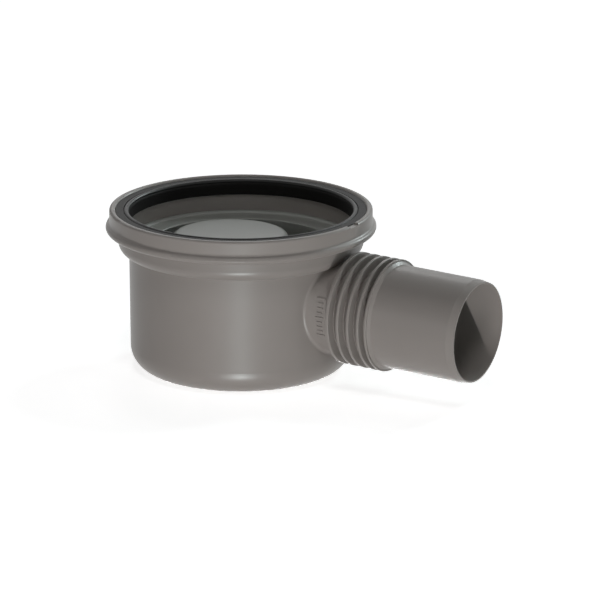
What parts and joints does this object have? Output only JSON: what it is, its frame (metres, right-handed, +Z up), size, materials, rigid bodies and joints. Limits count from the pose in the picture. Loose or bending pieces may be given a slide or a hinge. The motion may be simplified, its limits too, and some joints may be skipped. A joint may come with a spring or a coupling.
{
  "type": "floor drain body",
  "caption": "Round plastic floor drain pot with a rubber-sealed riser socket on top, a lift-out bell trap inside and a ribbed, slightly falling outlet spigot at the side.",
  "frame": {"origin": "on the pot's axis, at its flat underside", "axes": "+Z up along the pot's axis, out of the riser socket; +X towards the side outlet"},
  "size_m": [0.1984, 0.1316, 0.0801],
  "materials": {
    "body_plastic": "satin moulded grey",
    "seal_rubber": "satin black",
    "trap_plastic": "satin moulded grey"
  },
  "bodies": {
    "root": {"drain_body": "body_plastic", "socket_seal": "seal_rubber", "trap_gasket": "seal_rubber", "trap_cup": "trap_plastic", "trap_bell": "trap_plastic"}
  },
  "joints": []
}
